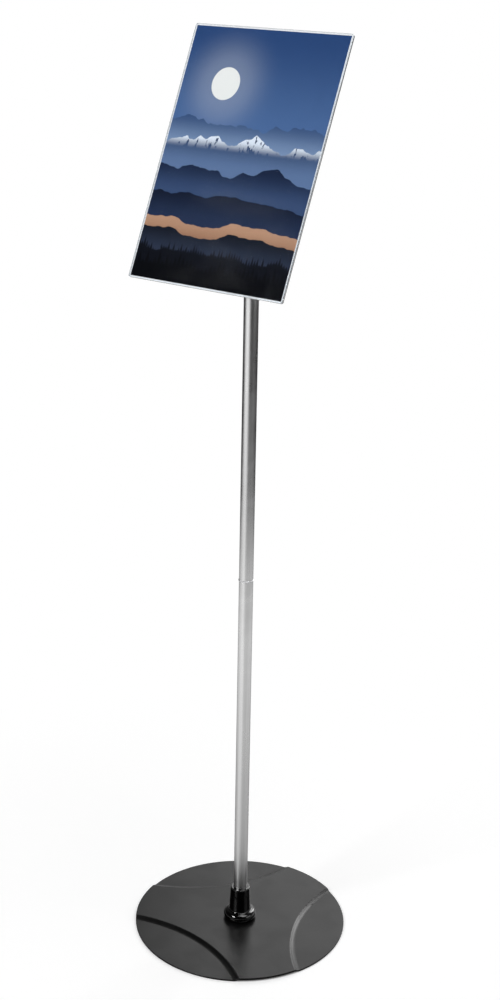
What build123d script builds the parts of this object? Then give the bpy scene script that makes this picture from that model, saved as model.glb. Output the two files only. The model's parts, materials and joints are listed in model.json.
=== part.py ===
from build123d import *
import os
from math import cos, hypot, radians, sin, tan

# Free-standing poster stand, in millimetres.
# The origin is on the floor below the pole's axis, +Z is up, and the poster faces -Y.

# Poster and its pocket
poster_width = 297.0
poster_height = 420.0
poster_thickness = 0.3
poster_face_play = 0.3
poster_edge_play = 0.5
poster_foot_play = 0.1
poster_top_margin = 3.0
sheet_thickness = 2.0
sheet_corner = 3.0
sheet_edge_round = 0.35
side_strip_width = 2.5
bottom_strip_width = 3.0

# Tilt of the poster back from upright, and the height of the tilt pin
tilt_angle = 24.4
pivot_height = 1400.0

# Base plate: pressed steel, with three foot areas set down at the rim
base_radius = 195.0
base_thickness = 3.0
base_edge_round = 0.7
foot_drop = 3.5
foot_count = 3
foot_turn = -98.8
foot_depth = 84.0
foot_arc_radius = 279.0
step_slope = 28.0
step_foot_round = 14.0
step_centre_round = 2.5
pad_radius = 11.0
pad_thickness = 1.0
pad_from_rim = 30.0

# Bolt that holds the pole on the base
base_bolt_radius = 5.0
base_bolt_head_radius = 10.0
base_bolt_head_height = 2.4
base_bolt_reach = 24.0
base_bolt_socket = 6.0
base_bolt_socket_depth = 5.0
base_washer_radius = 13.0
base_washer_thickness = 0.8

# Collar at the foot of the pole
collar_height = 64.5
collar_top_radius = 17.9
collar_foot_radius = 21.0
bulb_ring_radius = 21.3
bulb_radius = 8.8
bulb_centre_height = 8.0
bulb_groove_round = 3.0
collar_wall = 2.5
collar_lip_round = 1.6
collar_mouth_round = 0.7
collar_bore_play = 0.15

# Pole: two tubes with a ring between them
tube_radius = 12.5
tube_wall = 1.5
tube_end_bevel = 0.3
joint_height = 690.0
joint_ring_thickness = 3.0
joint_ring_proud = 0.9
joint_ring_bevel = 0.8
plug_length = 34.0
plug_bevel = 1.0
stud_radius = 5.0
stud_reach = 26.0
stud_ring_play = 0.3

# Tilt fork on the pole's top
fork_spigot_length = 42.0
fork_shoulder_drop = 30.0
fork_lip = 1.4
fork_lip_height = 2.0
fork_flare_height = 9.0
fork_body_radius = 20.5
fork_flare_round = 6.0
fork_rim_round = 1.5
ear_radius = 12.0
ear_thickness = 7.0
ear_edge_round = 1.2
eye_radius = 12.0
eye_width = 16.0
eye_clearance = 2.0
grub_radius = 2.5
grub_length = 7.0
grub_drop = 18.0

# Tilt pin, its washers and its knob
pivot_radius = 4.0
friction_washer_radius = 10.5
friction_washer_thickness = 1.0
bolt_head_radius = 9.0
bolt_head_height = 4.2
bolt_head_round = 3.2
bolt_square = 8.0
bolt_square_length = 6.0
bolt_tip_inset = 7.0
knob_washer_radius = 9.0
knob_washer_thickness = 1.6
knob_hub_radius = 10.5
knob_hub_length = 7.0
knob_grip_length = 16.0
knob_core_radius = 15.0
knob_lobe_radius = 5.5
knob_lobe_ring = 15.0
knob_lobe_count = 6
knob_lobe_round = 3.0
knob_edge_round = 2.0
insert_width = 12.0
insert_length = 15.0

# Tilt arm with its swivel flange
pivot_to_flange = 33.15
flange_radius = 25.0
flange_thickness = 6.0
flange_edge_round = 1.5
web_half_height = 13.0
web_root_round = 2.5
web_edge_round = 1.2
nut_window_depth = 8.6
nut_window_half_height = 7.0

# Swivel between the arm and the pocket
swivel_disc_radius = 16.5
swivel_disc_thickness = 0.8
plate_radius = 42.0
plate_thickness = 4.0
plate_edge_round = 0.8
spindle_radius = 3.0
spindle_head_radius = 6.0
spindle_tip = 1.5
spindle_socket = 4.0
spindle_socket_depth = 2.4
spring_washer_radius = 6.0
spring_washer_thickness = 0.8
spring_split_width = 0.8
spring_split_lean = 25.0
nut_width = 10.0
nut_height = 5.0
nut_collar_height = 1.3
nut_collar_inset = 0.6
nut_face_inset = 0.3
nut_corner_slope = 30.0
stop_ring_radius = 19.5
stop_pin_radius = 1.5
stop_pin_seat = 3.0
stop_pin_inset = 1.0
stop_start_angle = 225.0
swivel_range = 90.0
stop_play = 0.3

# Screws from the pocket's back sheet into its plate
screw_radius = 1.5
screw_head_radius = 2.9
screw_head_height = 1.6
screw_length = 5.0
screw_socket = 2.0
screw_socket_depth = 1.2
screw_circle_radius = 33.0
screw_count = 4
screw_first_angle = 45.0

# Clearances
running_play = 0.05
seat_play = 0.03
knob_play = 0.1
square_play = 0.1

# Sizes worked out from those above
slot_depth = poster_thickness + 2 * poster_face_play
pocket_width = poster_width + 2 * (poster_edge_play + side_strip_width)
pocket_height = bottom_strip_width + poster_foot_play + poster_height + poster_top_margin
foot_bottom = pad_thickness
foot_top = foot_bottom + base_thickness
centre_bottom = foot_bottom + foot_drop
centre_top = centre_bottom + base_thickness
foot_axis_distance = base_radius - foot_depth + foot_arc_radius
foot_angles = [foot_turn + 360.0 / foot_count * index for index in range(foot_count)]
tube_bore = tube_radius - tube_wall
plug_radius = tube_bore - seat_play
lower_tube_top = joint_height - joint_ring_thickness / 2
upper_tube_foot = joint_height + joint_ring_thickness / 2
upper_tube_top = pivot_height - fork_shoulder_drop
shoulder_top = pivot_height - eye_radius - eye_clearance
ear_inside = eye_width / 2 + running_play + friction_washer_thickness
ear_outside = ear_inside + ear_thickness
knob_face = ear_outside + knob_washer_thickness + knob_play
knob_end = knob_face + knob_hub_length + knob_grip_length
flange_front = pivot_to_flange + flange_thickness
plate_back = flange_front + swivel_disc_thickness + running_play
plate_front = plate_back + plate_thickness
slot_back = plate_front + sheet_thickness
slot_front = slot_back + slot_depth
stop_slot_half_width = stop_pin_radius + stop_play

# Planes that the pieces are built on. On poster_plane, x runs along the poster's width,
# y up the poster and z out of its face. On pin_plane, z runs along the tilt pin, and on
# grub_plane into the back of the tube.
poster_normal = (0, -cos(radians(tilt_angle)), sin(radians(tilt_angle)))
poster_plane = Plane(origin=(0, 0, pivot_height), x_dir=(1, 0, 0), z_dir=poster_normal)
pin_plane = Plane(origin=(0, 0, pivot_height), x_dir=(0, 1, 0), z_dir=(1, 0, 0))
grub_plane = Plane(origin=(0, tube_radius, upper_tube_top - grub_drop), x_dir=(1, 0, 0), z_dir=(0, -1, 0))


def rod(radius, start, end):
    """Round rod about Z between two heights."""
    return Pos(0, 0, start) * Cylinder(radius, end - start, align=(Align.CENTER, Align.CENTER, Align.MIN))


def ring(outer_radius, inner_radius, start, end):
    """Flat ring or tube about Z between two heights."""
    return rod(outer_radius, start, end) - rod(inner_radius, start, end)


def turned(profile):
    """Solid turned about Z from a face drawn with x as radius and y as height."""
    return revolve(Plane.XZ * profile, axis=Axis.Z)


def circles_at(solid, height):
    """Round edges of a solid that lie at one height."""
    return [
        edge
        for edge in solid.edges().filter_by(GeomType.CIRCLE)
        if abs(edge.center().Z - height) < 1e-4 and abs((edge @ 0).Z - height) < 1e-4
    ]


def outer_circle(solid, height):
    """The widest round edge at one height."""
    return max(circles_at(solid, height), key=lambda edge: edge.radius)


def on_circle(radius, angle):
    """Point at an angle, in degrees, on a circle about Z."""
    return radius * cos(radians(angle)), radius * sin(radians(angle))


# Base


def foot_step():
    """Ring of sheet that steps from a foot area up to the centre, about the foot arc's axis."""
    rise = foot_drop / tan(radians(step_slope))
    fold = base_thickness * tan(radians(step_slope / 2))
    top_centre_round = step_centre_round + base_thickness
    bottom_foot_round = step_foot_round + base_thickness
    inside = foot_arc_radius - foot_depth - 2 * base_thickness
    outside = foot_arc_radius + rise + fold + 2 * top_centre_round
    top = FilletPolyline(
        (inside, foot_top),
        (foot_arc_radius, foot_top),
        (foot_arc_radius + rise, centre_top),
        (outside, centre_top),
        radius=[step_foot_round, top_centre_round],
    )
    bottom = FilletPolyline(
        (inside, foot_bottom),
        (foot_arc_radius + fold, foot_bottom),
        (foot_arc_radius + rise + fold, centre_bottom),
        (outside, centre_bottom),
        radius=[bottom_foot_round, step_centre_round],
    )
    inner_end = Line((inside, foot_bottom), (inside, foot_top))
    outer_end = Line((outside, centre_bottom), (outside, centre_top))
    return turned(make_face(top.edges() + bottom.edges() + [inner_end, outer_end])), outside


def make_base_plate():
    disc = rod(base_radius, foot_bottom, centre_top)
    step, step_reach = foot_step()
    plate = rod(base_radius, centre_bottom, centre_top)
    feet = []
    for angle in foot_angles:
        place = Pos(*on_circle(foot_axis_distance, angle), 0)
        plate -= place * rod(step_reach, 0, 2 * centre_top)
        feet.append(disc & (place * step))
    for foot in feet:
        plate += foot
    rim = [
        edge
        for edge in plate.edges()
        if all(abs(hypot((edge @ t).X, (edge @ t).Y) - base_radius) < 1e-3 for t in (0, 0.3, 0.5, 1))
        and abs((edge % 0.5).Z) < 0.95
    ]
    plate = fillet(rim, base_edge_round)
    return plate - rod(base_bolt_radius + running_play, 0, 2 * centre_top)


def make_foot_pad(angle):
    place = Pos(*on_circle(base_radius - pad_from_rim, angle), 0)
    return place * rod(pad_radius, 0, pad_thickness)


def make_base_washer():
    washer_bottom = centre_bottom - base_washer_thickness
    return ring(base_washer_radius, base_bolt_radius + running_play, washer_bottom, centre_bottom)


def make_base_bolt():
    head_top = centre_bottom - base_washer_thickness
    head_bottom = head_top - base_bolt_head_height
    bolt = rod(base_bolt_head_radius, head_bottom, head_top)
    bolt = fillet(outer_circle(bolt, head_bottom), base_bolt_head_height / 3)
    bolt += rod(base_bolt_radius, head_top, centre_top + base_bolt_reach)
    socket = RegularPolygon(base_bolt_socket / 2, 6, major_radius=False)
    return bolt - Pos(0, 0, head_bottom) * extrude(socket, base_bolt_socket_depth)


def make_collar():
    bulb_place = Pos(bulb_ring_radius, bulb_centre_height)
    cone = Polygon(
        (0, 0),
        (collar_foot_radius, 0),
        (collar_top_radius, collar_height),
        (0, collar_height),
        align=None,
    )
    outline = cone + bulb_place * Circle(bulb_radius)
    bulb_top = bulb_centre_height + bulb_radius
    groove = max(
        (v for v in outline.vertices() if v.Y < bulb_top and v.X > tube_radius),
        key=lambda v: v.Y,
    )
    outline = fillet(groove, bulb_groove_round)
    lip = max(outline.vertices(), key=lambda v: v.X + 10 * v.Y)
    outline = fillet(lip, collar_lip_round)
    bore = tube_radius + collar_bore_play
    cavity = (bulb_ring_radius, bulb_centre_height + bulb_radius - collar_wall)
    outline -= Polygon((0, 0), (bore, 0), (bore, collar_height), (0, collar_height), align=None)
    outline -= bulb_place * Circle(bulb_radius - collar_wall)
    outline -= Polygon((0, 0), (cavity[0], 0), cavity, (0, cavity[1]), align=None)
    below = 4 * bulb_ring_radius
    outline -= Polygon((0, -below), (below, -below), (below, 0), (0, 0), align=None)
    collar = turned(outline)
    mouth = min(circles_at(collar, collar_height), key=lambda edge: edge.radius)
    return Pos(0, 0, centre_top) * fillet(mouth, collar_mouth_round)


# Pole


def make_tube(foot, top):
    tube = ring(tube_radius, tube_bore, foot, top)
    return chamfer([outer_circle(tube, foot), outer_circle(tube, top)], tube_end_bevel)


def plug(foot, top):
    """Solid plug pressed into a tube between two heights."""
    body = rod(plug_radius, foot, top)
    return chamfer([outer_circle(body, foot), outer_circle(body, top)], plug_bevel)


def make_lower_tube_plug():
    hole = rod(base_bolt_radius + running_play, centre_top, centre_top + base_bolt_reach + plug_bevel)
    return plug(centre_top, centre_top + plug_length) - hole


def make_joint_socket():
    hole = rod(stud_radius + running_play, lower_tube_top - plug_length, lower_tube_top)
    return plug(lower_tube_top - plug_length, lower_tube_top) - hole


def make_joint_stud():
    stud_tip = upper_tube_foot - stud_reach
    stud = rod(stud_radius, stud_tip, upper_tube_foot)
    stud = chamfer(outer_circle(stud, stud_tip), plug_bevel)
    return plug(upper_tube_foot, upper_tube_foot + plug_length) + stud


def make_joint_ring():
    outer_radius = tube_radius + joint_ring_proud
    band = ring(outer_radius, stud_radius + stud_ring_play, lower_tube_top, upper_tube_foot)
    edges = [outer_circle(band, lower_tube_top), outer_circle(band, upper_tube_foot)]
    return chamfer(edges, joint_ring_bevel)


# Tilt fork


def fork_shoulder():
    """Turned foot of the fork: a lip on the tube's end that flares out below the ears."""
    lip_radius = tube_radius + fork_lip
    lip_top = upper_tube_top + fork_lip_height
    flare = FilletPolyline(
        (lip_radius, upper_tube_top),
        (lip_radius, lip_top),
        (fork_body_radius, lip_top + fork_flare_height),
        (fork_body_radius, shoulder_top),
        radius=[fork_lip_height / 2, fork_flare_round],
    )
    axis_side = Polyline(flare @ 1, (0, shoulder_top), (0, upper_tube_top), flare @ 0)
    shoulder = turned(make_face(flare.edges() + axis_side.edges()))
    return fillet(outer_circle(shoulder, shoulder_top), fork_rim_round)


def fork_ear():
    """Round-topped ear on the +X side, down into the shoulder."""
    depth = pivot_height - shoulder_top + fork_rim_round
    outline = Circle(ear_radius) + Pos(0, -depth / 2) * Rectangle(2 * ear_radius, depth)
    ear = pin_plane * (Pos(0, 0, ear_inside) * extrude(outline, ear_thickness))
    rims = [edge for edge in ear.edges() if abs((edge @ 0).X - (edge @ 1).X) < 1e-4]
    top_rims = [edge for edge in rims if (edge @ 0.5).Z > shoulder_top]
    return fillet(top_rims, ear_edge_round)


def make_tilt_fork():
    ear = fork_ear()
    body = fork_shoulder() + ear + mirror(ear, about=Plane.YZ)
    body -= pin_plane * rod(pivot_radius + running_play, -2 * ear_outside, 2 * ear_outside)
    square = Rectangle(bolt_square + 2 * square_play, bolt_square + 2 * square_play)
    body -= pin_plane * (Pos(0, 0, -ear_outside) * extrude(square, bolt_square_length + square_play))
    spigot_foot = upper_tube_top - fork_spigot_length
    spigot = rod(plug_radius, spigot_foot, upper_tube_top)
    spigot = chamfer(outer_circle(spigot, spigot_foot), plug_bevel)
    return body + spigot - grub_rod(grub_radius + running_play)


def grub_rod(radius):
    """Rod from the back of the tube into the fork's spigot, where the set screw sits."""
    return grub_plane * rod(radius, 0, grub_length)


def make_fork_grub_screw():
    socket = extrude(RegularPolygon(grub_radius / 2, 6, major_radius=False), grub_radius)
    return grub_rod(grub_radius) - grub_plane * socket


def make_upper_tube():
    return make_tube(upper_tube_foot, upper_tube_top) - grub_rod(grub_radius + running_play)


# Tilt pin and knob


def make_pivot_bolt():
    head = rod(bolt_head_radius, -ear_outside - bolt_head_height, -ear_outside)
    head = fillet(outer_circle(head, -ear_outside - bolt_head_height), bolt_head_round)
    neck = Pos(0, 0, -ear_outside) * extrude(Rectangle(bolt_square, bolt_square), bolt_square_length)
    tip = knob_end - bolt_tip_inset
    shank = rod(pivot_radius, -ear_outside, tip)
    shank = chamfer(outer_circle(shank, tip), pivot_radius / 4)
    return pin_plane * (head + neck + shank)


def make_friction_washers():
    inner_face = ear_inside - friction_washer_thickness
    washer = ring(friction_washer_radius, pivot_radius + running_play, inner_face, ear_inside)
    return pin_plane * Compound(children=[washer, Rot(180, 0, 0) * washer])


def make_knob_washer():
    washer_end = ear_outside + knob_washer_thickness
    return pin_plane * ring(knob_washer_radius, pivot_radius + running_play, ear_outside, washer_end)


def knob_insert_prism(play):
    outline = RegularPolygon(insert_width / 2 + play, 6, major_radius=False)
    return Pos(0, 0, knob_face) * extrude(outline, insert_length + play)


def make_clamp_knob():
    outline = Circle(knob_core_radius)
    for index in range(knob_lobe_count):
        angle = 360.0 / knob_lobe_count * index
        outline += Pos(*on_circle(knob_lobe_ring, angle)) * Circle(knob_lobe_radius)
    outline = fillet(outline.vertices(), knob_lobe_round)
    grip_start = knob_face + knob_hub_length
    grip = Pos(0, 0, grip_start) * extrude(outline, knob_grip_length)
    rims = [
        edge
        for edge in grip.edges()
        if abs((edge @ 0).Z - (edge @ 1).Z) < 1e-4
    ]
    grip = fillet(rims, knob_edge_round)
    hub = rod(knob_hub_radius, knob_face, grip_start)
    hub = chamfer(outer_circle(hub, knob_face), knob_edge_round / 2)
    bore = rod(pivot_radius + running_play, knob_face, knob_end - bolt_tip_inset + pivot_radius / 2)
    return pin_plane * (grip + hub - knob_insert_prism(seat_play) - bore)


def make_knob_insert():
    return pin_plane * (knob_insert_prism(0) - rod(pivot_radius + running_play, knob_face, knob_end))


# Tilt arm


def make_tilt_arm():
    web_outline = Circle(eye_radius) + Polygon(
        (-eye_radius, 0),
        (eye_radius, 0),
        (web_half_height, pivot_to_flange + flange_thickness / 2),
        (-web_half_height, pivot_to_flange + flange_thickness / 2),
        align=None,
    )
    web = extrude(Plane.YZ * web_outline, eye_width / 2, both=True)
    sides = [edge for edge in web.edges() if abs((edge @ 0).X - (edge @ 1).X) < 1e-4]
    web = fillet([edge for edge in sides if (edge @ 0.5).Z < pivot_to_flange], web_edge_round)
    flange = rod(flange_radius, pivot_to_flange, flange_front)
    flange = fillet(outer_circle(flange, pivot_to_flange), flange_edge_round)
    arm = web + flange
    roots = [
        edge
        for edge in arm.edges().filter_by(GeomType.LINE)
        if abs((edge @ 0).Z - pivot_to_flange) < 1e-4 and abs((edge @ 1).Z - pivot_to_flange) < 1e-4
    ]
    arm = fillet(roots, web_root_round)
    window = Pos(0, 0, pivot_to_flange - nut_window_depth / 2) * Box(
        2 * eye_width, 2 * nut_window_half_height, nut_window_depth
    )
    arm -= window
    arm -= rod(spindle_radius + running_play, 0, 2 * flange_front) - rod(
        2 * spindle_radius, 0, pivot_to_flange - nut_window_depth / 2
    )
    arm -= Rot(0, 90, 0) * rod(pivot_radius + running_play, -eye_width, eye_width)
    arm -= stop_slot()
    return poster_plane * arm


def stop_slot():
    """Curved slot through the flange that the stop pin runs in."""
    outer = stop_ring_radius + stop_slot_half_width
    inner = stop_ring_radius - stop_slot_half_width
    depth = 2 * flange_thickness
    start = pivot_to_flange - flange_thickness / 2
    sector_reach = 2 * stop_ring_radius
    step = swivel_range / 6
    corners = [
        on_circle(sector_reach, stop_start_angle + step * index)
        for index in range(7)
    ]
    sector = Polygon((0, 0), *corners, align=None)
    outline = (Circle(outer) - Circle(inner)) & sector
    for angle in (stop_start_angle, stop_start_angle + swivel_range):
        outline += Pos(*on_circle(stop_ring_radius, angle)) * Circle(stop_slot_half_width)
    return Pos(0, 0, start) * extrude(outline, depth)


# Swivel


def make_swivel_disc():
    disc_front = flange_front + swivel_disc_thickness
    return poster_plane * ring(swivel_disc_radius, spindle_radius + running_play, flange_front, disc_front)


def countersunk(radius, head_radius, head_height, length, top):
    """Countersunk screw along Z with its flat head's face at a height."""
    head = Pos(0, 0, top - head_height / 2) * Cone(radius, head_radius, head_height)
    return head + rod(radius, top - length, top)


def hex_socket(width, depth, top):
    """Hexagonal key socket that opens at a height."""
    return Pos(0, 0, top - depth) * extrude(RegularPolygon(width / 2, 6, major_radius=False), 2 * depth)


def spindle_head_height():
    return spindle_head_radius - spindle_radius


def make_pocket_plate():
    plate = rod(plate_radius, plate_back, plate_front)
    plate = fillet(outer_circle(plate, plate_back), plate_edge_round)
    plate -= countersunk(
        spindle_radius + seat_play,
        spindle_head_radius + seat_play,
        spindle_head_height(),
        2 * plate_thickness,
        plate_front,
    )
    pin_x, pin_y = on_circle(stop_ring_radius, stop_start_angle)
    pin_hole = rod(stop_pin_radius + seat_play, plate_back - plate_thickness, plate_back + stop_pin_seat)
    plate -= Pos(pin_x, pin_y) * pin_hole
    for place in screw_places():
        plate -= place * rod(screw_radius + seat_play, plate_back - plate_thickness, plate_front)
    return poster_plane * plate


def make_swivel_stop_pin():
    pin_x, pin_y = on_circle(stop_ring_radius, stop_start_angle)
    pin = rod(stop_pin_radius, pivot_to_flange + stop_pin_inset, plate_back + stop_pin_seat)
    return poster_plane * (Pos(pin_x, pin_y) * pin)


def nut_back():
    return pivot_to_flange - running_play - spring_washer_thickness - nut_height


def make_swivel_spindle():
    length = plate_front - nut_back() + spindle_tip
    spindle = countersunk(spindle_radius, spindle_head_radius, spindle_head_height(), length, plate_front)
    tip = min(circles_at(spindle, plate_front - length), key=lambda edge: edge.radius)
    spindle = chamfer(tip, spindle_radius / 4)
    return poster_plane * (spindle - hex_socket(spindle_socket, spindle_socket_depth, plate_front))


def make_spring_washer():
    washer_top = pivot_to_flange - running_play
    washer_bottom = washer_top - spring_washer_thickness
    washer = ring(spring_washer_radius, spindle_radius + running_play, washer_bottom, washer_top)
    split = Pos(spring_washer_radius, 0, (washer_bottom + washer_top) / 2) * Rot(spring_split_lean, 0, 0)
    washer -= split * Box(2 * spring_washer_radius, spring_split_width, 4 * spring_washer_thickness)
    return poster_plane * washer


def make_spindle_nut():
    """Self-locking nut: a hexagon with its corners turned off, and a round collar behind it."""
    hex_back = nut_back() + nut_collar_height
    hex_front = nut_back() + nut_height
    face_radius = nut_width / 2 - nut_face_inset
    turning_radius = 1.5 * face_radius
    corner_drop = (turning_radius - face_radius) * tan(radians(nut_corner_slope))
    blank = turned(
        Polygon(
            (0, hex_back),
            (face_radius, hex_back),
            (turning_radius, hex_back + corner_drop),
            (turning_radius, hex_front - corner_drop),
            (face_radius, hex_front),
            (0, hex_front),
            align=None,
        )
    )
    hexagon = extrude(RegularPolygon(nut_width / 2, 6, major_radius=False), nut_height)
    nut = blank & (Pos(0, 0, nut_back()) * hexagon)
    collar = rod(nut_width / 2 - nut_collar_inset, nut_back(), hex_back)
    nut += fillet(outer_circle(collar, nut_back()), nut_collar_height / 2)
    return poster_plane * (nut - rod(spindle_radius + running_play, 0, plate_front))


# Pocket


def screw_places():
    """Places of the screws' axes on the poster's plane."""
    angles = [screw_first_angle + 360.0 / screw_count * index for index in range(screw_count)]
    return [Pos(*on_circle(screw_circle_radius, angle)) for angle in angles]


def make_pocket_screws():
    screw = countersunk(screw_radius, screw_head_radius, screw_head_height, screw_length, slot_back)
    screw -= hex_socket(screw_socket, screw_socket_depth, slot_back)
    return poster_plane * Compound(children=[place * screw for place in screw_places()])


def pocket_sheet(back):
    """Clear sheet of the pocket with its back face at a distance from the pin."""
    blank = RectangleRounded(pocket_width, pocket_height, sheet_corner)
    sheet = Pos(0, 0, back) * extrude(blank, sheet_thickness)
    edges = [edge for edge in sheet.edges() if abs((edge @ 0).Z - (edge @ 1).Z) < 1e-4]
    return fillet(edges, sheet_edge_round)


def make_pocket_back_sheet():
    sheet = pocket_sheet(plate_front)
    hole = countersunk(
        screw_radius + running_play,
        screw_head_radius + running_play,
        screw_head_height,
        2 * sheet_thickness,
        slot_back,
    )
    for place in screw_places():
        sheet -= place * hole
    return poster_plane * sheet


def make_pocket_front_sheet():
    return poster_plane * pocket_sheet(slot_front)


def slot_filler(width, height, centre_x, bottom):
    """Clear strip that closes one edge of the slot between the sheets."""
    blank = Pos(centre_x, bottom + height / 2) * Rectangle(width, height)
    blank &= RectangleRounded(pocket_width, pocket_height, sheet_corner)
    return poster_plane * (Pos(0, 0, slot_back) * extrude(blank, slot_depth))


def make_side_strip(side):
    centre_x = side * (pocket_width - side_strip_width) / 2
    return slot_filler(side_strip_width, pocket_height, centre_x, -pocket_height / 2)


def make_bottom_strip():
    width = pocket_width - 2 * side_strip_width
    return slot_filler(width, bottom_strip_width, 0, -pocket_height / 2)


def make_poster():
    bottom = -pocket_height / 2 + bottom_strip_width + poster_foot_play
    blank = Pos(0, bottom + poster_height / 2) * Rectangle(poster_width, poster_height)
    return poster_plane * (Pos(0, 0, slot_back + poster_face_play) * extrude(blank, poster_thickness))


pad_names = ["foot_pad_front", "foot_pad_right", "foot_pad_back"]
parts = {
    "base_plate": make_base_plate(),
    "base_washer": make_base_washer(),
    "base_bolt": make_base_bolt(),
    "base_collar": make_collar(),
    "lower_tube": make_tube(centre_top, lower_tube_top),
    "lower_tube_plug": make_lower_tube_plug(),
    "joint_socket": make_joint_socket(),
    "joint_ring": make_joint_ring(),
    "joint_stud": make_joint_stud(),
    "upper_tube": make_upper_tube(),
    "tilt_fork": make_tilt_fork(),
    "fork_grub_screw": make_fork_grub_screw(),
    "pivot_bolt": make_pivot_bolt(),
    "friction_washers": make_friction_washers(),
    "knob_washer": make_knob_washer(),
    "clamp_knob": make_clamp_knob(),
    "knob_insert": make_knob_insert(),
    "tilt_arm": make_tilt_arm(),
    "swivel_disc": make_swivel_disc(),
    "pocket_plate": make_pocket_plate(),
    "swivel_stop_pin": make_swivel_stop_pin(),
    "swivel_spindle": make_swivel_spindle(),
    "spindle_spring_washer": make_spring_washer(),
    "spindle_nut": make_spindle_nut(),
    "pocket_screws": make_pocket_screws(),
    "pocket_back_sheet": make_pocket_back_sheet(),
    "pocket_front_sheet": make_pocket_front_sheet(),
    "pocket_left_strip": make_side_strip(-1),
    "pocket_right_strip": make_side_strip(1),
    "pocket_bottom_strip": make_bottom_strip(),
    "poster_sheet": make_poster(),
}
for name, angle in zip(pad_names, foot_angles):
    parts[name] = make_foot_pad(angle)

os.makedirs("parts", exist_ok=True)
for name, shape in parts.items():
    export_step(shape, f"parts/{name}.step")
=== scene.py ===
import json
from math import cos, pi, radians, sin

import bpy
from mathutils import Matrix, Vector


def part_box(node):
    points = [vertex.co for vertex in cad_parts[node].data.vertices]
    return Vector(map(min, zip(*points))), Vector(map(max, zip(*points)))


# Looks of a free-standing poster stand. Metres, Z up, the poster faces -Y, the floor is at Z 0.

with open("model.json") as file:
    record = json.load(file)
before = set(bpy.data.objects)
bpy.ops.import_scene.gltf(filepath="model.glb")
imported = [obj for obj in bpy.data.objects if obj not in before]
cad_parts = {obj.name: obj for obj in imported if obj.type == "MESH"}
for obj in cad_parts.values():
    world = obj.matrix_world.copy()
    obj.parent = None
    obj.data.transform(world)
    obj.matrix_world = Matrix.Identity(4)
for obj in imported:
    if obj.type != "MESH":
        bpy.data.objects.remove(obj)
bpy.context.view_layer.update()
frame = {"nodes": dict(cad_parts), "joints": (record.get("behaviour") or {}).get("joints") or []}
nodes = frame["nodes"]
bpy.ops.object.select_all(action="DESELECT")

scene = bpy.context.scene
scene.view_settings.view_transform = "Standard"

# Camera, at the photograph's place
camera_place = (1.556, -2.172, 1.799)
camera_azimuth = radians(35.53)
camera_elevation = radians(19.79)
camera_roll = radians(1.10)
camera_lens = 59.75

# From the frame: the poster's facing and lean, the tilt pin and the rim of the base
joints = {joint["name"]: joint for joint in frame["joints"]}
swivel_axis = Vector(joints["swivel"]["axis"])
pin_place = Vector(joints["tilt"]["pos_m"])
poster_lean = swivel_axis.angle(Vector((0, 0, 1)))
base_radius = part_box("base_plate")[1].x

# The print, in millimetres from the middle of the sheet, with shades from 0 to 255
sky_low, sky_high = 20.0, 215.0
sky_low_shade, sky_high_shade = (76, 104, 148), (42, 68, 112)
disc_middle = (-62.0, 118.0, 0.0)
disc_radius = 27.0
disc_shade = (234, 232, 226)
glow_radius = 120.0
glow_strength = 0.3
glow_shade = (178, 184, 196)
edge_softness = 0.4
mist_above, mist_below = 1 / 6, 46.0
snow_start, snow_full = 8.0, 30.0
snow_patch_width, snow_patch_height = 9.0, 22.0
snow_reach = 46.0
snow_softness = 1.2
snow_shade = (222, 228, 236)
shortest_tree = 0.2
hills = [
    dict(level=54, rise=62, wave=74, seed=3.1, top=(58, 80, 118), foot=(120, 142, 174)),
    dict(level=24, rise=74, wave=88, seed=7.4, top=(38, 54, 86), foot=(92, 114, 150), snowy=True),
    dict(level=-22, rise=48, wave=80, seed=12.7, top=(27, 38, 62), foot=(56, 74, 108)),
    dict(level=-66, rise=44, wave=110, seed=21.3, top=(20, 27, 44), foot=(36, 48, 74)),
    dict(level=-108, rise=34, wave=90, seed=33.9, top=(182, 140, 112), foot=(134, 92, 68)),
    dict(level=-126, rise=36, wave=90, seed=33.9, top=(22, 26, 36), foot=(46, 54, 72)),
]
tree_rows = [
    dict(level=-160, rise=26, wave=60, seed=47.2, spacing=5.0, tall=16.0, shade=(15, 17, 24)),
    dict(level=-186, rise=22, wave=70, seed=58.4, spacing=8.0, tall=26.0, shade=(8, 9, 13)),
]

# Clear sheet: its edges, which face away from the swivel axis, are rougher than its faces
face_cosine, edge_cosine = 0.9, 0.5
edge_roughness = 0.16

# Floor: its colour, its own glow close to the stand, which is left out under the base plate's rim as painted
# shade, and where it is white to the camera
floor_half = 30.0
pale_floor = 0.64
floor_lift = 0.5
lift_under_rim, lift_past_rim = 0.006, 0.001
white_from, white_to = 0.3, 1.0

# Painted glow of the floor that only mirrored rays see, as metal mirrors it: close to the stand, at middle
# distance and far off, with painted shade just past the base plate's rim
near_glow, middle_glow, far_glow = 0.47, 0.8, 0.03
near_distance, middle_distance, far_distance = 0.3, 1.5, 2.5
rim_shade = 0.02

# This painted glow has a painted dimmer side and a painted brighter band towards one side, by the cosine to
# each azimuth
bright_azimuth = radians(35.53)
dim_side, bright_side = -0.95, -0.4
dim_share = 0.45
band_azimuth = radians(-24)
band_edge, band_core = 0.5, 0.97
band_back, band_front = -0.35, 0.6
band_start, band_end = 1.8, 3.6
band_start_glow, band_end_glow = 0.26, 1.15

# The room: its glow in front and behind, and the band low behind the stand
front_glow, back_glow = 0.02, 0.12
low_glow = 0.75

# Where each part of the room starts and where it is full, in the direction's own Z or Y
high_in_z = (0.1, 0.35)
front_in_y = (0.15, -0.25)
low_in_z = (0.4, 0.1)
behind_in_y = (0.3, 0.8)
front_to_back_in_y = (-0.2, 0.9)

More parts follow.
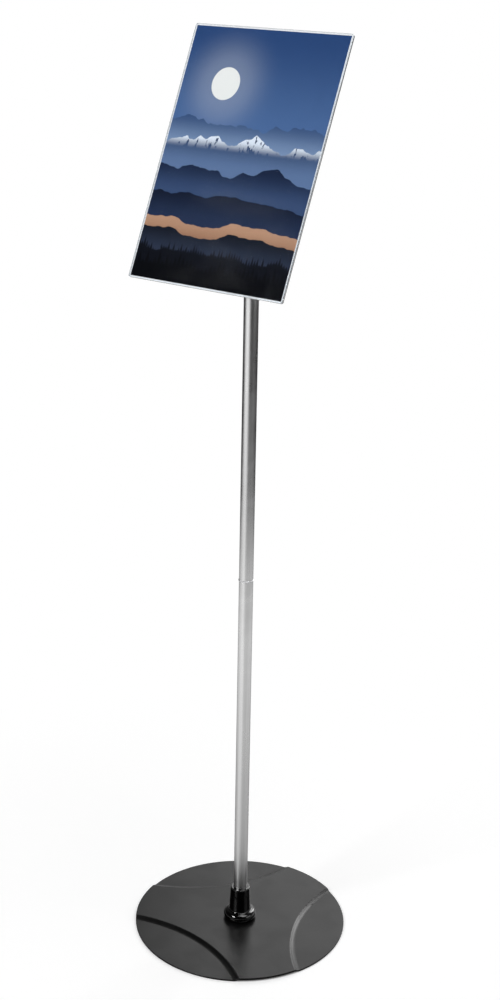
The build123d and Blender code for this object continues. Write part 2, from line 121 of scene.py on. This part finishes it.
# Rectangular lamps that face a point on the pole's axis. A glow of 1 is as bright as white paper.
lamps = [
    dict(name="key", place=(1.5, 0.1, 5.4), aim_height=0.1, width=2.6, height=3.8, glow=2.8),
    dict(name="front", place=(-0.85, -2.95, 2.6), aim_height=1.0, width=1.2, height=0.9, glow=18.0),
    dict(name="fill", place=(3.0, 0.6, 1.6), aim_height=0.5, width=2.0, height=1.2, glow=1.2),
    dict(name="back", place=(-1.25, 3.75, 2.7), aim_height=0.1, width=3.3, height=2.6, glow=1.42),
    dict(name="edge", place=(0.15, 3.9, 2.6), aim_height=0.05, width=1.6, height=2.3, glow=4.3),
]


def srgb(red, green, blue):
    """Linear colour of a shade given from 0 to 255 as it looks on a screen."""
    shares = [value / 255 for value in (red, green, blue)]
    return tuple(s / 12.92 if s <= 0.04045 else ((s + 0.055) / 1.055) ** 2.4 for s in shares) + (1.0,)


def grey(value):
    """Neutral linear colour."""
    return (value, value, value, 1.0)


def scaled(colour, factor):
    """A colour made lighter or darker by a factor, up to white."""
    return [min(1.0, value * factor) for value in colour[:3]] + [1.0]


# Shader helpers


def feed(tree, socket, value):
    """Gives a socket a link from another socket, or a plain value."""
    if isinstance(value, bpy.types.NodeSocket):
        tree.links.new(value, socket)
    else:
        socket.default_value = value


def add(tree, kind, inputs=None, **settings):
    """A node of a kind. Its inputs are given by name, or by number where names repeat."""
    made = tree.nodes.new(kind)
    for name, value in settings.items():
        setattr(made, name, value)
    for key, value in (inputs or {}).items():
        feed(tree, made.inputs[key], value)
    return made


def maths(tree, operation, *values, clamp=False):
    """Result of a sum on numbers."""
    made = add(tree, "ShaderNodeMath", dict(enumerate(values)), operation=operation, use_clamp=clamp)
    return made.outputs[0]


def vector_maths(tree, operation, *values):
    """Outputs of a sum on vectors, which are Vector and Value."""
    return add(tree, "ShaderNodeVectorMath", dict(enumerate(values)), operation=operation).outputs


def blend_colour(tree, share, first, second):
    """Colour that goes from the first to the second as share goes from 0 to 1."""
    return add(tree, "ShaderNodeMix", {0: share, 6: first, 7: second}, data_type="RGBA").outputs[2]


def blend_number(tree, share, first, second):
    """Number that goes from the first to the second as share goes from 0 to 1."""
    return add(tree, "ShaderNodeMix", {0: share, 2: first, 3: second}).outputs[0]


def blend_surface(tree, share, first, second):
    """Gives the material a surface that goes from the first shader to the second."""
    mixed = add(tree, "ShaderNodeMixShader", {0: share, 1: first, 2: second})
    tree.links.new(mixed.outputs[0], tree.nodes["Material Output"].inputs["Surface"])


def ramp(tree, value, low, high, from_value=0.0, to_value=1.0):
    """Smooth step of a value from from_value at low to to_value at high."""
    reach = {"Value": value, "From Min": low, "From Max": high, "To Min": from_value, "To Max": to_value}
    return add(tree, "ShaderNodeMapRange", reach, interpolation_type="SMOOTHSTEP").outputs["Result"]


def noise(tree, inputs, **settings):
    """Cloudy value around 0.5."""
    return add(tree, "ShaderNodeTexNoise", inputs, **settings).outputs["Fac"]


def object_point(tree):
    return tree.nodes.new("ShaderNodeTexCoord").outputs["Object"]


def object_normal(tree):
    return tree.nodes.new("ShaderNodeTexCoord").outputs["Normal"]


# Shader groups


def new_group(name, inputs, outputs):
    """Empty shader group with float inputs and outputs; returns its tree and its two ends."""
    tree = bpy.data.node_groups.new(name, "ShaderNodeTree")
    for label, default in inputs.items():
        made = tree.interface.new_socket(label, in_out="INPUT", socket_type="NodeSocketFloat")
        made.default_value = default
    for label in outputs:
        tree.interface.new_socket(label, in_out="OUTPUT", socket_type="NodeSocketFloat")
    return tree, tree.nodes.new("NodeGroupInput").outputs, tree.nodes.new("NodeGroupOutput").inputs


def use_group(tree, group, **values):
    """Outputs of a group, whose inputs are given by name in lower case with underscores."""
    made = add(tree, "ShaderNodeGroup", node_tree=group)
    for name, value in values.items():
        feed(tree, made.inputs[name.replace("_", " ").capitalize()], value)
    return made.outputs


def grain_group():
    """Fine even relief, as on powder coat, castings and moulded plastic."""
    coarse_ratio = 40.0
    patch_edges = (0.35, 0.65)
    tree, given, result = new_group("fine_grain", {"Size": 0.001, "Unevenness": 0.5}, ["Height", "Patches"])
    point = object_point(tree)
    fine = noise(tree, {"Vector": point, "Scale": maths(tree, "DIVIDE", 1.0, given["Size"])})
    coarse_size = maths(tree, "MULTIPLY", given["Size"], coarse_ratio)
    coarse = noise(tree, {"Vector": point, "Scale": maths(tree, "DIVIDE", 1.0, coarse_size)})
    patches = ramp(tree, coarse, *patch_edges)
    spread = maths(tree, "MULTIPLY", patches, given["Unevenness"])
    tree.links.new(maths(tree, "ADD", fine, spread), result["Height"])
    tree.links.new(patches, result["Patches"])
    return tree


def drawn_group():
    """Fine lines along the Z axis, as on a drawn and anodised tube."""
    tree, given, result = new_group("drawn_lines", {"Width": 0.0004, "Length": 0.15}, ["Height"])
    across = maths(tree, "DIVIDE", 1.0, given["Width"])
    along = maths(tree, "DIVIDE", 1.0, given["Length"])
    scale = add(tree, "ShaderNodeCombineXYZ", {"X": across, "Y": across, "Z": along})
    point = vector_maths(tree, "MULTIPLY", object_point(tree), scale.outputs[0])["Vector"]
    tree.links.new(noise(tree, {"Vector": point, "Scale": 1.0, "Detail": 2.0}), result["Height"])
    return tree


def handling_group():
    """Soft smears of use that change the roughness, and a little dust on what faces up."""
    smear_edges, speck_edges, film_edges = (0.35, 0.7), (0.62, 0.78), (0.4, 0.75)
    speck_density, film_density = 900.0, 25.0
    upward = (0.5, 1.0)
    inputs = {"Smear size": 0.06, "Roughness": 0.3, "Roughness change": 0.1, "Dust": 0.1}
    tree, given, result = new_group("handling", inputs, ["Roughness", "Dust"])
    point = object_point(tree)
    smear_scale = maths(tree, "DIVIDE", 1.0, given["Smear size"])
    smears = noise(tree, {"Vector": point, "Scale": smear_scale, "Detail": 4.0, "Distortion": 0.6})
    change = maths(tree, "MULTIPLY", ramp(tree, smears, *smear_edges), given["Roughness change"])
    tree.links.new(maths(tree, "ADD", given["Roughness"], change), result["Roughness"])
    facing = add(tree, "ShaderNodeSeparateXYZ", {"Vector": object_normal(tree)})
    up = ramp(tree, facing.outputs["Z"], *upward)
    specks = noise(tree, {"Vector": point, "Scale": speck_density, "Detail": 2.0})
    film = noise(tree, {"Vector": point, "Scale": film_density, "Detail": 3.0})
    dust = maths(tree, "MULTIPLY", ramp(tree, specks, *speck_edges), ramp(tree, film, *film_edges))
    dust = maths(tree, "MULTIPLY", dust, up)
    tree.links.new(maths(tree, "MULTIPLY", dust, given["Dust"]), result["Dust"])
    return tree


skyline_inputs = {"Across": 0.0, "Up": 0.0, "Level": 0.0, "Rise": 20.0, "Wave": 60.0, "Seed": 0.0}


def ridge_group():
    """Mask of the land below a wavy skyline, and how far below it a place is."""
    tree, given, result = new_group("ridge", skyline_inputs, ["Land", "Depth"])
    place = maths(tree, "ADD", maths(tree, "DIVIDE", given["Across"], given["Wave"]), given["Seed"])
    skyline = noise(tree, {"W": place, "Scale": 1.0, "Detail": 5.0}, noise_dimensions="1D")
    swing = maths(tree, "MULTIPLY", maths(tree, "SUBTRACT", skyline, 0.5), given["Rise"])
    depth = maths(tree, "SUBTRACT", maths(tree, "ADD", given["Level"], swing), given["Up"])
    tree.links.new(depth, result["Depth"])
    tree.links.new(maths(tree, "DIVIDE", depth, edge_softness, clamp=True), result["Land"])
    return tree


def tree_group():
    """Mask of a row of pointed trees that stand on a wavy skyline."""
    inputs = {**skyline_inputs, "Spacing": 6.0, "Tall": 14.0}
    tree, given, result = new_group("tree_row", inputs, ["Land"])
    ground = use_group(tree, ridge, **{label.lower(): given[label] for label in skyline_inputs})
    place = maths(tree, "DIVIDE", given["Across"], given["Spacing"])
    chance = add(tree, "ShaderNodeTexWhiteNoise", {"W": maths(tree, "FLOOR", place)}, noise_dimensions="1D")
    from_middle = maths(tree, "ABSOLUTE", maths(tree, "SUBTRACT", maths(tree, "FRACT", place), 0.5))
    taper = maths(tree, "MULTIPLY_ADD", from_middle, -2.0, 1.0)
    share = maths(tree, "MULTIPLY_ADD", chance.outputs["Value"], 1.0 - shortest_tree, shortest_tree)
    depth = maths(tree, "MULTIPLY_ADD", taper, maths(tree, "MULTIPLY", given["Tall"], share), ground["Depth"])
    tree.links.new(maths(tree, "DIVIDE", depth, edge_softness, clamp=True), result["Land"])
    return tree


fine_grain = grain_group()
drawn_lines = drawn_group()
handling = handling_group()
ridge = ridge_group()
tree_row = tree_group()


# Materials


def new_material(name, **plain):
    """Material with one Principled shader, whose plain values are set on its own sockets."""
    material = bpy.data.materials.new(name)
    material.use_nodes = True
    tree = material.node_tree
    shader = tree.nodes["Principled BSDF"]
    for label, value in plain.items():
        shader.inputs[label.replace("_", " ")].default_value = value
    return material, tree, shader.inputs


def finish_surface(tree, inputs, colour, roughness, height, depth):
    """Gives the shader its colour, its roughness and a relief of a depth."""
    relief = add(tree, "ShaderNodeBump", {"Height": height, "Distance": depth, "Strength": 1.0})
    tree.links.new(colour, inputs["Base Color"])
    tree.links.new(roughness, inputs["Roughness"])
    tree.links.new(relief.outputs["Normal"], inputs["Normal"])


def coated(name, colour, roughness, grain_size, grain_depth, dust=0.1, roughness_change=0.08, **plain):
    """Painted or moulded surface: one colour with a fine grain, handling marks and a trace of dust."""
    dust_colour, patch_lightness = grey(0.45), 1.25
    material, tree, inputs = new_material(name, **plain)
    grain = use_group(tree, fine_grain, size=grain_size, unevenness=0.2)
    marks = use_group(tree, handling, roughness=roughness, roughness_change=roughness_change, dust=dust)
    shade = blend_colour(tree, grain["Patches"], colour, scaled(colour, patch_lightness))
    dusty = blend_colour(tree, marks["Dust"], shade, dust_colour)
    finish_surface(tree, inputs, dusty, marks["Roughness"], grain["Height"], grain_depth)
    return material


def metal(name, colour, roughness, grain_size, grain_depth):
    """Bare or plated metal with a fine tooled grain."""
    patch_lightness = 0.82
    material, tree, inputs = new_material(name, Metallic=1.0)
    grain = use_group(tree, fine_grain, size=grain_size, unevenness=0.5)
    marks = use_group(tree, handling, smear_size=0.01, roughness=roughness, roughness_change=0.08)
    shade = blend_colour(tree, grain["Patches"], colour, scaled(colour, patch_lightness))
    finish_surface(tree, inputs, shade, marks["Roughness"], grain["Height"], grain_depth)
    return material


def tube_metal():
    """Satin anodised aluminium with the fine lines of the drawing die."""
    line_depth, line_edges = 0.0000005, (0.3, 0.7)
    dark, light = grey(0.74), grey(0.82)
    material, tree, inputs = new_material("anodised_tube", Metallic=1.0)
    lines = use_group(tree, drawn_lines, width=0.0012, length=0.3)
    marks = use_group(tree, handling, smear_size=0.05, roughness=0.27, roughness_change=0.06)
    shade = blend_colour(tree, ramp(tree, lines["Height"], *line_edges), dark, light)
    finish_surface(tree, inputs, shade, marks["Roughness"], lines["Height"], line_depth)
    return material


def clear_acrylic(name, tint):
    """Clear sheet with faint wiping marks and satin edges, which lets the lamps through."""
    material, tree, inputs = new_material(name, Base_Color=tint, IOR=1.49, Transmission_Weight=1.0)
    marks = use_group(tree, handling, smear_size=0.05, roughness=0.008, roughness_change=0.02, dust=0.0)
    cosine = vector_maths(tree, "DOT_PRODUCT", object_normal(tree), swivel_axis)["Value"]
    edge = ramp(tree, maths(tree, "ABSOLUTE", cosine), face_cosine, edge_cosine)
    tree.links.new(blend_number(tree, edge, marks["Roughness"], edge_roughness), inputs["Roughness"])
    path = tree.nodes.new("ShaderNodeLightPath").outputs
    lamp_light = maths(tree, "MAXIMUM", path["Is Shadow Ray"], path["Is Diffuse Ray"])
    open_way = add(tree, "ShaderNodeBsdfTransparent", {"Color": tint})
    blend_surface(tree, lamp_light, tree.nodes["Principled BSDF"].outputs[0], open_way.outputs[0])
    return material


def print_place(tree):
    """Place on the print in millimetres across and up from its middle, and out of its face in metres."""
    turn = {"Vector": object_point(tree), "Location": pin_place, "Rotation": (poster_lean, 0, 0)}
    flat = add(tree, "ShaderNodeMapping", turn, vector_type="TEXTURE")
    parts = add(tree, "ShaderNodeSeparateXYZ", {"Vector": flat.outputs[0]}).outputs
    across, up = (maths(tree, "MULTIPLY", parts[label], 1000.0) for label in ("X", "Y"))
    return across, up, parts["Z"]


def print_sky(tree, across, up):
    """Evening sky with a pale disc and its glow."""
    height = ramp(tree, up, sky_low, sky_high)
    colour = blend_colour(tree, height, srgb(*sky_low_shade), srgb(*sky_high_shade))
    place = add(tree, "ShaderNodeCombineXYZ", {"X": across, "Y": up})
    distance = vector_maths(tree, "DISTANCE", place.outputs[0], disc_middle)["Value"]
    glow = maths(tree, "POWER", ramp(tree, distance, glow_radius, disc_radius), 2.0)
    colour = blend_colour(tree, maths(tree, "MULTIPLY", glow, glow_strength), colour, srgb(*glow_shade))
    disc = ramp(tree, distance, disc_radius + edge_softness, disc_radius - edge_softness)
    return blend_colour(tree, disc, colour, srgb(*disc_shade))


def snow_share(tree, across, up, depth):
    """Broken snow along the top of a ridge."""
    patch_edges = (0.35, 0.65)
    patch_x = maths(tree, "DIVIDE", across, snow_patch_width)
    patch_y = maths(tree, "DIVIDE", up, snow_patch_height)
    place = add(tree, "ShaderNodeCombineXYZ", {"X": patch_x, "Y": patch_y}).outputs[0]
    patches = noise(tree, {"Vector": place, "Scale": 1.0, "Detail": 5.0, "Roughness": 0.65})
    limit = ramp(tree, patches, *patch_edges, 0.0, snow_reach)
    above_limit = ramp(tree, maths(tree, "SUBTRACT", limit, depth), 0.0, snow_softness)
    return maths(tree, "MULTIPLY", above_limit, ramp(tree, up, snow_start, snow_full))


def skyline_of(row):
    """The values of a hill or a row of trees that shape its skyline."""
    return {key: row[key] for key in ("level", "rise", "wave", "seed")}


def printed_paper():
    """The print: hills with snow, mist and trees below a pale disc, on paper with a white back."""
    paper_white = grey(0.86)
    material, tree, inputs = new_material("printed_paper", Roughness=0.6, Specular_IOR_Level=0.0)
    across, up, out = print_place(tree)
    colour = print_sky(tree, across, up)
    for hill in hills:
        land = use_group(tree, ridge, across=across, up=up, **skyline_of(hill))
        mist_top = hill["level"] + hill["rise"] * mist_above
        mist = ramp(tree, up, mist_top, hill["level"] - mist_below)
        shade = blend_colour(tree, mist, srgb(*hill["top"]), srgb(*hill["foot"]))
        if "snowy" in hill:
            snow = snow_share(tree, across, up, land["Depth"])
            shade = blend_colour(tree, snow, shade, srgb(*snow_shade))
        colour = blend_colour(tree, land["Land"], colour, shade)
    for row in tree_rows:
        sizes = dict(spacing=row["spacing"], tall=row["tall"], **skyline_of(row))
        land = use_group(tree, tree_row, across=across, up=up, **sizes)
        colour = blend_colour(tree, land["Land"], colour, srgb(*row["shade"]))

    low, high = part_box("poster_sheet")
    middle = swivel_axis.dot((low + high) / 2 - pin_place)
    printed = maths(tree, "GREATER_THAN", out, middle)
    tree.links.new(blend_colour(tree, printed, paper_white, colour), inputs["Base Color"])
    return material


# Materials by finish: a name, a colour, its roughness, and the grain's size and depth

base_paint = coated("satin_black_paint", grey(0.0025), 0.28, 0.0011, 0.00002, roughness_change=0.06)
cast_paint = coated("textured_black_paint", grey(0.020), 0.5, 0.0007, 0.00006)
gloss_black = coated(
    "gloss_black_plastic",
    grey(0.0005),
    roughness=0.03,
    grain_size=0.02,
    grain_depth=0.000001,
    dust=0.01,
    roughness_change=0.015,
    Coat_Weight=0.8,
)
knob_black = coated("grained_black_plastic", grey(0.012), 0.42, 0.0006, 0.00005)
rubber = coated("black_rubber", grey(0.018), 0.75, 0.0008, 0.00006, dust=0.4)
nylon = coated("natural_nylon", srgb(222, 219, 206), 0.4, 0.001, 0.00001, dust=0.0, Subsurface_Weight=0.1)
zinc = metal("zinc_plated_steel", srgb(196, 197, 200), 0.3, 0.0012, 0.00001)
steel = metal("ground_steel", srgb(176, 177, 180), 0.25, 0.0008, 0.00001)
black_oxide = metal("black_oxide_steel", srgb(58, 58, 60), 0.4, 0.001, 0.00001)
turned_aluminium = metal("turned_aluminium", srgb(205, 205, 207), 0.25, 0.0008, 0.00001)
bright_ring = metal("bright_aluminium", srgb(250, 250, 252), 0.45, 0.001, 0.000002)
brass = metal("turned_brass", srgb(214, 178, 106), 0.28, 0.0009, 0.00001)
tube = tube_metal()
acrylic = clear_acrylic("clear_acrylic", srgb(251, 253, 255))

# The CAD nodes that wear each material

finishes = {
    base_paint: ["base_plate"],
    cast_paint: ["tilt_fork", "tilt_arm", "pocket_plate"],
    gloss_black: ["base_collar"],
    knob_black: ["clamp_knob"],
    rubber: ["foot_pad_front", "foot_pad_right", "foot_pad_back"],
    nylon: ["friction_washers", "swivel_disc"],
    zinc: ["base_bolt", "base_washer", "pivot_bolt", "knob_washer", "swivel_spindle", "spindle_nut"],
    steel: ["swivel_stop_pin", "spindle_spring_washer", "pocket_screws"],
    black_oxide: ["fork_grub_screw"],
    turned_aluminium: ["lower_tube_plug", "joint_socket", "joint_stud"],
    bright_ring: ["joint_ring"],
    brass: ["knob_insert"],
    tube: ["lower_tube", "upper_tube"],
    acrylic: [
        "pocket_back_sheet",
        "pocket_front_sheet",
        "pocket_left_strip",
        "pocket_right_strip",
        "pocket_bottom_strip",
    ],
    printed_paper(): ["poster_sheet"],
}
for material, names in finishes.items():
    for name in names:
        for slot in nodes[name].material_slots:
            slot.material = material


# Studio


def ray_kinds(tree):
    """Masks of the camera's own rays, straight ones, all that show what lies beyond, and mirrored ones."""
    path = tree.nodes.new("ShaderNodeLightPath").outputs
    through = maths(tree, "GREATER_THAN", path["Transmission Depth"], 0.5)
    straight = maths(tree, "MAXIMUM", path["Is Camera Ray"], path["Is Transmission Ray"])
    seen = maths(tree, "MAXIMUM", straight, through)
    mirrored = maths(tree, "MULTIPLY", path["Is Glossy Ray"], maths(tree, "SUBTRACT", 1.0, seen))
    return {"camera": path["Is Camera Ray"], "straight": straight, "seen": seen, "mirrored": mirrored}


def cosine_to(tree, place, azimuth):
    """Cosine between the way to a place on the floor and an azimuth."""
    way = vector_maths(tree, "NORMALIZE", place)["Vector"]
    return vector_maths(tree, "DOT_PRODUCT", way, (sin(azimuth), -cos(azimuth), 0.0))["Value"]


def painted_mirror_glow(tree, place, distance):
    """Painted glow of the floor as metal mirrors it, by distance and by side, with painted shade past the rim
    and a painted bright band.
    """
    near = ramp(tree, distance, near_distance, middle_distance, near_glow, middle_glow)
    # Painted shade of the stand on the mirrored floor, just past the base plate's rim
    near = maths(tree, "MULTIPLY", near, ramp(tree, distance, base_radius, base_radius + rim_shade))
    far = ramp(tree, distance, middle_distance, far_distance, middle_glow, far_glow)
    level = maths(tree, "MINIMUM", near, far)
    to_bright = cosine_to(tree, place, bright_azimuth)
    level = maths(tree, "MULTIPLY", level, ramp(tree, to_bright, dim_side, bright_side, dim_share, 1.0))
    # Painted bright band on the mirrored floor
    band = ramp(tree, cosine_to(tree, place, band_azimuth), band_edge, band_core)
    band = maths(tree, "MULTIPLY", band, ramp(tree, to_bright, band_back, band_front))
    band_glow = ramp(tree, distance, band_start, band_end, band_start_glow, band_end_glow)
    return maths(tree, "MULTIPLY_ADD", band, band_glow, level)


def floor_material():
    """Pale floor that keeps the stand's shadow and is white further off, with painted shade under the base
    plate's rim and a painted glow that mirrored rays see.
    """
    paint = dict(Base_Color=grey(pale_floor), Roughness=1.0, Specular_IOR_Level=0.0, Emission_Color=grey(1.0))
    material, tree, inputs = new_material("pale_floor", **paint)
    material.cycles.emission_sampling = "NONE"
    place = object_point(tree)
    distance = vector_maths(tree, "LENGTH", place)["Value"]
    rays = ray_kinds(tree)

    # The floor's own glow fades out under the base plate's rim: painted shade in the gap under the plate
    outside_painted_rim_shade = ramp(tree, distance, base_radius - lift_under_rim, base_radius + lift_past_rim)
    lift = maths(tree, "MULTIPLY", outside_painted_rim_shade, floor_lift)
    tree.links.new(maths(tree, "MULTIPLY", rays["straight"], lift), inputs["Emission Strength"])

    white_share = maths(tree, "MULTIPLY", rays["seen"], ramp(tree, distance, white_from, white_to))
    # Mirrored rays see the painted glow in place of the lit floor
    strength = blend_number(tree, rays["mirrored"], 1.0, painted_mirror_glow(tree, place, distance))
    glow = add(tree, "ShaderNodeEmission", {"Color": grey(1.0), "Strength": strength})
    glow_share = maths(tree, "MAXIMUM", white_share, rays["mirrored"])
    blend_surface(tree, glow_share, tree.nodes["Principled BSDF"].outputs[0], glow.outputs[0])
    return material


def make_floor():
    bpy.ops.mesh.primitive_plane_add(size=2 * floor_half, location=(0, 0, 0))
    floor = bpy.context.object
    floor.name = "floor"
    floor.data.materials.append(floor_material())


def make_surround():
    """Plain dim room, darker in front, which is white to the camera and behind clear sheet."""
    world = bpy.data.worlds.new("studio")
    scene.world = world
    world.use_nodes = True
    tree = world.node_tree
    background = tree.nodes["Background"].inputs
    background["Color"].default_value = grey(1.0)
    rays = ray_kinds(tree)
    way = tree.nodes.new("ShaderNodeTexCoord").outputs["Generated"]
    parts = add(tree, "ShaderNodeSeparateXYZ", {"Vector": way}).outputs
    high, in_front = ramp(tree, parts["Z"], *high_in_z), ramp(tree, parts["Y"], *front_in_y)
    bright_part = maths(tree, "SUBTRACT", 1.0, maths(tree, "MULTIPLY", high, in_front))
    white = maths(tree, "MAXIMUM", rays["camera"], maths(tree, "MULTIPLY", rays["seen"], bright_part))
    low = ramp(tree, parts["Z"], *low_in_z, 0.0, low_glow)
    room = ramp(tree, parts["Y"], *front_to_back_in_y, front_glow, back_glow)
    room = maths(tree, "MULTIPLY_ADD", low, ramp(tree, parts["Y"], *behind_in_y), room)
    tree.links.new(blend_number(tree, white, room, 1.0), background["Strength"])


def make_lamp(name, place, aim_height, width, height, glow):
    light = bpy.data.lights.new(name, "AREA")
    light.shape = "RECTANGLE"
    light.size = width
    light.size_y = height
    light.energy = glow * pi * width * height
    lamp = bpy.data.objects.new(name, light)
    scene.collection.objects.link(lamp)
    lamp.location = place
    way = Vector((0, 0, aim_height)) - Vector(place)
    lamp.rotation_euler = way.to_track_quat("-Z", "Y").to_euler()
    lamp.visible_camera = False
    lamp.visible_transmission = False


def make_camera():
    data = bpy.data.cameras.new("camera")
    data.lens = camera_lens
    camera = bpy.data.objects.new("camera", data)
    scene.collection.objects.link(camera)
    turn = (
        Matrix.Rotation(camera_azimuth, 4, "Z")
        @ Matrix.Rotation(pi / 2 - camera_elevation, 4, "X")
        @ Matrix.Rotation(camera_roll, 4, "Z")
    )
    camera.matrix_world = Matrix.Translation(camera_place) @ turn
    scene.camera = camera


make_floor()
make_surround()
for lamp in lamps:
    make_lamp(**lamp)
make_camera()
